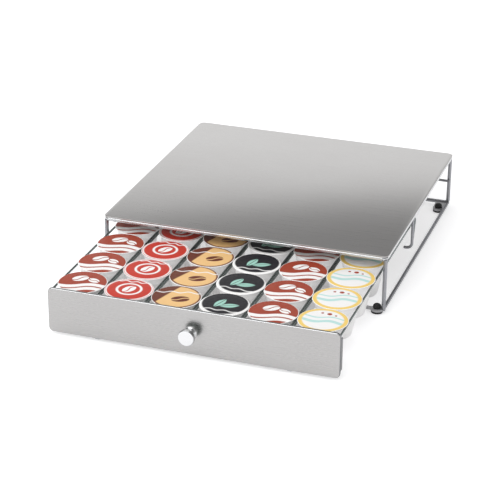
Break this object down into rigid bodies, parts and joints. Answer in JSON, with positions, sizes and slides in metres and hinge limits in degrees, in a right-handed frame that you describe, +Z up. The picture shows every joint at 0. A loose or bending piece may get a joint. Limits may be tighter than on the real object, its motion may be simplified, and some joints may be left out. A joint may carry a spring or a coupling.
{
  "type": "coffee pod drawer",
  "caption": "Bent-wire stand with a satin steel top plate over a sliding wire drawer that hangs capped coffee pods by their rims behind a steel front with a round knob.",
  "frame": {"origin": "on the counter, under the middle of the outline of the drawer as it stands open in the picture", "axes": "+X to the right seen from the front, +Y to the back, +Z up; the drawer opens towards -Y"},
  "size_m": [0.3198, 0.4842, 0.0665],
  "materials": {
    "chrome_wire": "bright plated wire",
    "satin_steel": "fine satin",
    "tab_steel": "plain pressed steel",
    "rubber": "matt black",
    "bright_chrome": "polished",
    "cup_plastic": "soft white plastic",
    "lid_rust": "printed foil lid",
    "lid_red": "printed foil lid",
    "lid_cream": "printed foil lid",
    "lid_black": "printed foil lid",
    "lid_white": "printed foil lid"
  },
  "bodies": {
    "stand": {"top_plate": "satin_steel", "top_hoop": "chrome_wire", "rear_bottom_rail": "chrome_wire", "rear_stop_rail": "chrome_wire", "front_leg_right": "chrome_wire", "front_leg_left": "chrome_wire", "rear_leg_right": "chrome_wire", "rear_leg_left": "chrome_wire", "side_rail_right": "chrome_wire", "side_rail_left": "chrome_wire", "stop_hook_right": "chrome_wire", "stop_hook_left": "chrome_wire", "foot_tab_front_right": "tab_steel", "foot_tab_front_left": "tab_steel", "foot_tab_rear_right": "tab_steel", "foot_tab_rear_left": "tab_steel", "foot_front_right": "rubber", "foot_front_left": "rubber", "foot_rear_right": "rubber", "foot_rear_left": "rubber"},
    "drawer": {"drawer_front": "satin_steel", "knob": "bright_chrome", "knob_washer": "tab_steel", "knob_screw": "tab_steel", "front_top_wire": "chrome_wire", "front_low_wire": "chrome_wire", "rear_top_wire": "chrome_wire", "rear_low_wire": "chrome_wire", "outer_rail_left": "chrome_wire", "outer_rail_right": "chrome_wire", "front_post_left": "chrome_wire", "front_post_right": "chrome_wire", "rear_post_left": "chrome_wire", "rear_post_right": "chrome_wire", "skid_left": "chrome_wire", "skid_right": "chrome_wire", "rail_pair_1_2": "chrome_wire", "rail_pair_2_3": "chrome_wire", "rail_pair_3_4": "chrome_wire", "rail_pair_4_5": "chrome_wire", "rail_pair_5_6": "chrome_wire", "pod_cups_column_1": "cup_plastic", "pod_cups_column_2": "cup_plastic", "pod_cups_column_3": "cup_plastic", "pod_cups_column_4": "cup_plastic", "pod_cups_column_5": "cup_plastic", "pod_cups_column_6": "cup_plastic", "pod_lids_column_1": "lid_rust", "pod_lids_column_2": "lid_red", "pod_lids_column_3": "lid_cream", "pod_lids_column_4": "lid_black", "pod_lids_column_5": "lid_rust", "pod_lids_column_6": "lid_white"}
  },
  "joints": [
    {"name": "drawer_slide", "type": "slide", "parent": "stand", "child": "drawer", "axis": [0, -1, 0], "range_m": [-0.1502, 0.0228]}
  ]
}
